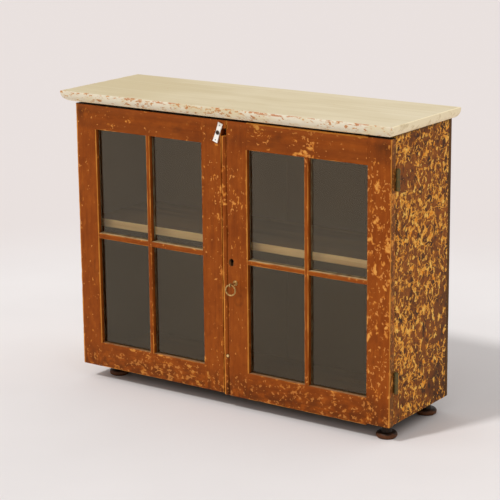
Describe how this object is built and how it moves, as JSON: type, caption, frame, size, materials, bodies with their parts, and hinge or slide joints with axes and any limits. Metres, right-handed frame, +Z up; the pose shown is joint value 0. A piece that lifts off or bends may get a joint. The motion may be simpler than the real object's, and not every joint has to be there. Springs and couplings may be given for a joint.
{
  "type": "glazed cupboard",
  "caption": "Low free-standing cupboard with paired glazed doors of small panes, an overhanging painted top board, an inner shelf, a turn button, a ring pull and turned feet.",
  "frame": {"origin": "on the floor under the middle of the overall box", "axes": "+Z up, +X to the right along the front as the viewer sees it, front facing -Y"},
  "size_m": [1.012, 0.326, 0.79],
  "materials": {
    "cream_paint": "old cream paint, worn and chipped along the edge",
    "door_paint": "orange-brown satin paint, chipped to ochre at the arrises",
    "side_paint": "dark brown paint flaking to an ochre ground",
    "bare_wood": "bare aged softwood",
    "back_wood": "dusty bare back boards",
    "foot_wood": "dark stained turning",
    "glass": "old clear pane",
    "putty": "aged glazing putty",
    "iron": "dull dark iron",
    "white_paint": "white enamel",
    "brass": "dull tarnished brass"
  },
  "bodies": {
    "carcass": {"back_board_1": "back_wood", "back_board_2": "back_wood", "back_board_3": "back_wood", "back_board_4": "back_wood", "back_nails": "iron", "bottom_board": "bare_wood", "foot_front_left": "foot_wood", "foot_front_right": "foot_wood", "foot_rear_left": "foot_wood", "foot_rear_right": "foot_wood", "frame_hinge_screws": "iron", "front_top_rail": "bare_wood", "hinge_pins": "iron", "left_lower_frame_leaf": "iron", "left_side": "side_paint", "left_upper_frame_leaf": "iron", "rear_top_rail": "bare_wood", "right_lower_frame_leaf": "iron", "right_side": "side_paint", "right_upper_frame_leaf": "iron", "shelf": "bare_wood", "top_board": "cream_paint", "top_screws": "iron"},
    "left_door": {"left_door_bottom_rail": "door_paint", "left_door_button_screw": "iron", "left_door_hinge_stile": "door_paint", "left_door_horizontal_bar": "door_paint", "left_door_lock_keep": "iron", "left_door_lower_leaf": "iron", "left_door_lower_left_pane": "glass", "left_door_lower_right_pane": "glass", "left_door_meeting_stile": "door_paint", "left_door_putty": "putty", "left_door_screws": "iron", "left_door_top_rail": "door_paint", "left_door_upper_leaf": "iron", "left_door_upper_left_pane": "glass", "left_door_upper_right_pane": "glass", "left_door_vertical_bar": "door_paint"},
    "right_door": {"right_door_bottom_rail": "door_paint", "right_door_hinge_stile": "door_paint", "right_door_horizontal_bar": "door_paint", "right_door_lock_case": "iron", "right_door_lower_leaf": "iron", "right_door_lower_left_pane": "glass", "right_door_lower_right_pane": "glass", "right_door_meeting_bead": "door_paint", "right_door_meeting_stile": "door_paint", "right_door_pull_eye": "brass", "right_door_putty": "putty", "right_door_screws": "iron", "right_door_top_rail": "door_paint", "right_door_upper_leaf": "iron", "right_door_upper_left_pane": "glass", "right_door_upper_right_pane": "glass", "right_door_vertical_bar": "door_paint"},
    "turn_button": {"turn_button": "white_paint"},
    "pull_ring": {"pull_ring": "brass"},
    "lock_bolt": {"lock_bolt": "iron"}
  },
  "joints": [
    {"name": "left_door_swing", "type": "hinge", "parent": "carcass", "child": "left_door", "pos_m": [-0.4874, -0.1055, 0.4015], "axis": [0, 0, -1], "range_deg": [0, 180]},
    {"name": "right_door_swing", "type": "hinge", "parent": "carcass", "child": "right_door", "pos_m": [0.4874, -0.1055, 0.4015], "axis": [0, 0, 1], "range_deg": [0, 180]},
    {"name": "turn_button_turn", "type": "hinge", "parent": "left_door", "child": "turn_button", "pos_m": [-0.0183, -0.128, 0.7216], "axis": [0, 1, 0], "continuous": true},
    {"name": "pull_ring_swing", "type": "hinge", "parent": "right_door", "child": "pull_ring", "pos_m": [0.02863, -0.15046, 0.339], "axis": [-0.9903, -0.1392, 0], "range_deg": [-35, 180]},
    {"name": "lock_bolt_slide", "type": "slide", "parent": "right_door", "child": "lock_bolt", "axis": [-1, 0, 0], "range_m": [0, 0.01]}
  ]
}
